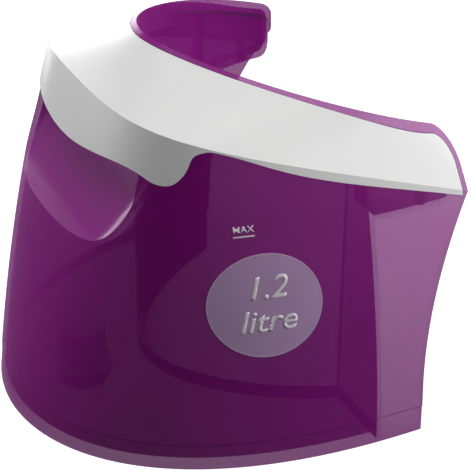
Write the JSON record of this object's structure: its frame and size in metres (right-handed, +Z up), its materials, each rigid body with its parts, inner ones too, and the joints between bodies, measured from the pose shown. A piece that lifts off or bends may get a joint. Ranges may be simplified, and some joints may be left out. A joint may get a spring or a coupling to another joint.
{
  "type": "removable water tank",
  "caption": "Horseshoe-shaped see-through water tank with a white grip cover, hand recess, filler flap, outlet valve, low-water float and side fins.",
  "frame": {"origin": "middle of the bounding box, on the resting plane", "axes": "+Z up, +Y towards the open end of the horseshoe, +X across it towards the arm with the capacity label"},
  "size_m": [0.213, 0.1834, 0.1702],
  "materials": {
    "purple_tank": "see-through purple, satin outside",
    "purple_flap": "see-through purple",
    "white_cover": "satin white moulding",
    "white_fitting": "natural white moulding",
    "grey_rubber": "soft silicone",
    "black_rubber": "matt",
    "steel": "bright stainless",
    "float_foam": "closed foam",
    "magnet": "sintered",
    "label_film": "satin printed film",
    "pale_print": "pad print"
  },
  "bodies": {
    "tank": {"tank_body": "purple_tank", "inner_wall": "purple_tank", "tank_floor": "purple_tank", "top_cover": "white_cover", "cover_gasket": "grey_rubber", "cover_screws": "steel", "filler_hinge_pin": "steel", "filler_seal": "grey_rubber", "valve_housing": "white_fitting", "valve_gasket": "black_rubber", "valve_nut": "white_fitting", "valve_guide": "white_fitting", "valve_spring": "steel", "water_strainer": "white_fitting", "float_cage": "white_fitting", "capacity_label": "label_film", "level_mark": "pale_print"},
    "flap": {"filler_flap": "purple_flap"},
    "plunger": {"valve_plunger": "white_fitting", "valve_seal": "black_rubber"},
    "float": {"level_float": "float_foam", "float_magnet": "magnet"}
  },
  "joints": [
    {"name": "filler_hinge", "type": "hinge", "parent": "tank", "child": "flap", "pos_m": [0, -0.00453, 0.118], "axis": [-1, 0, 0], "range_deg": [0, 95]},
    {"name": "valve_slide", "type": "slide", "parent": "tank", "child": "plunger", "axis": [0, 0, 1], "range_m": [0, 0.004], "stiffness_N_per_m": 300, "springref_m": -0.002, "deforming": ["valve_spring"]},
    {"name": "float_slide", "type": "slide", "parent": "tank", "child": "float", "axis": [0, 0, 1], "range_m": [0, 0.02]}
  ]
}
